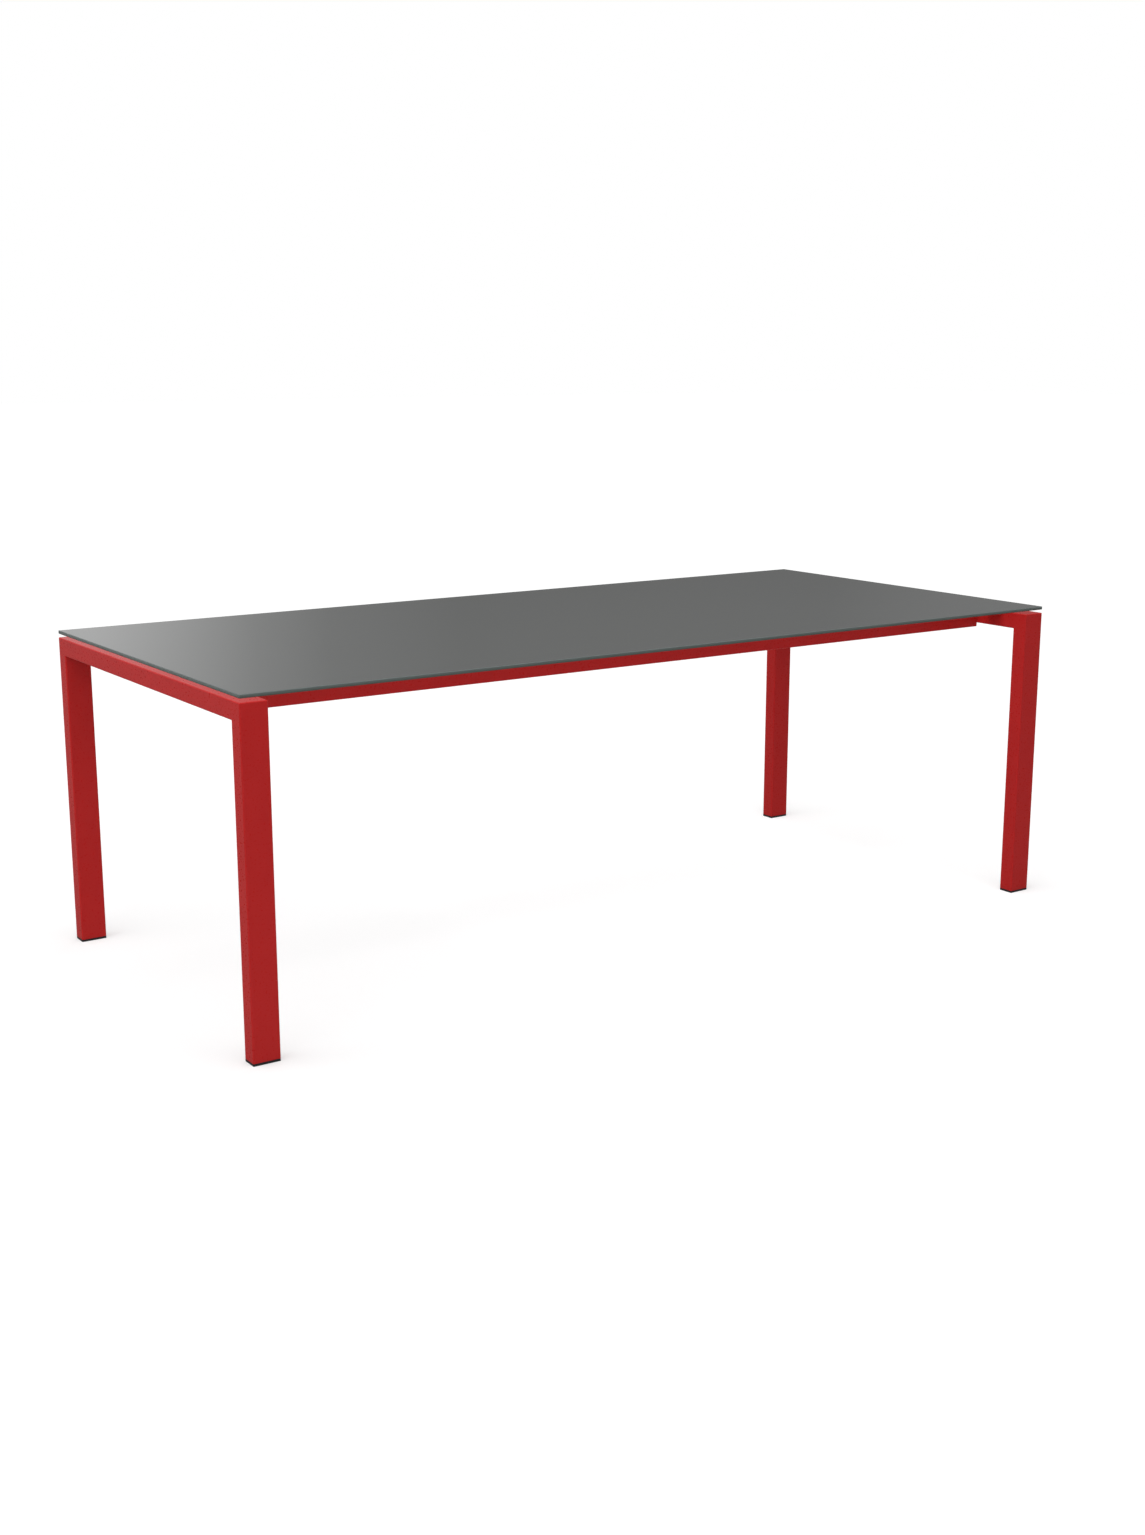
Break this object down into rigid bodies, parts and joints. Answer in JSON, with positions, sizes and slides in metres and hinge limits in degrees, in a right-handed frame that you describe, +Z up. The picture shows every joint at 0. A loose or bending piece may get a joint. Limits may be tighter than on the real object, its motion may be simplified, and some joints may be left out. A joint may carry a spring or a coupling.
{
  "type": "dining table",
  "caption": "Rectangular dining table: a grey back-painted glass top floats on a red frame of rectangular steel tube, with mitred end portals and long rails set in from the sides.",
  "frame": {"origin": "on the floor, below the middle of the top", "axes": "+X along the table to the right, +Y across it from the front long side to the back, +Z up"},
  "size_m": [2.2, 1, 0.745],
  "materials": {
    "back_painted_glass": "polished tempered glass, lacquered mid grey on its underside, with ground and polished edges",
    "red_powder_coat": "satin red powder coat on welded steel",
    "zinc_plated_steel": "bright zinc plating",
    "stainless_steel": "fine turned stainless steel",
    "grey_elastomer": "matt grey elastomer",
    "black_plastic": "moulded black polyethylene with a fine satin texture"
  },
  "bodies": {
    "root": {"glass_top": "back_painted_glass", "leg_front_left": "red_powder_coat", "leg_front_right": "red_powder_coat", "leg_back_left": "red_powder_coat", "leg_back_right": "red_powder_coat", "end_beam_left": "red_powder_coat", "end_beam_right": "red_powder_coat", "rail_front": "red_powder_coat", "rail_back": "red_powder_coat", "end_plate_front_left": "red_powder_coat", "end_plate_front_right": "red_powder_coat", "end_plate_back_left": "red_powder_coat", "end_plate_back_right": "red_powder_coat", "bracket_front_left": "red_powder_coat", "bracket_front_right": "red_powder_coat", "bracket_back_left": "red_powder_coat", "bracket_back_right": "red_powder_coat", "beam_rivet_nuts": "zinc_plated_steel", "rail_rivet_nuts": "zinc_plated_steel", "beam_bracket_screws": "zinc_plated_steel", "rail_bracket_screws": "zinc_plated_steel", "lug_beam_left_front": "red_powder_coat", "lug_beam_left_middle": "red_powder_coat", "lug_beam_left_back": "red_powder_coat", "lug_beam_right_front": "red_powder_coat", "lug_beam_right_middle": "red_powder_coat", "lug_beam_right_back": "red_powder_coat", "lug_rail_front_left": "red_powder_coat", "lug_rail_front_middle": "red_powder_coat", "lug_rail_front_right": "red_powder_coat", "lug_rail_back_left": "red_powder_coat", "lug_rail_back_middle": "red_powder_coat", "lug_rail_back_right": "red_powder_coat", "glass_discs": "stainless_steel", "soft_rings": "grey_elastomer", "disc_screws": "zinc_plated_steel", "foot_cap_front_left": "black_plastic", "foot_cap_front_right": "black_plastic", "foot_cap_back_left": "black_plastic", "foot_cap_back_right": "black_plastic"}
  },
  "joints": []
}
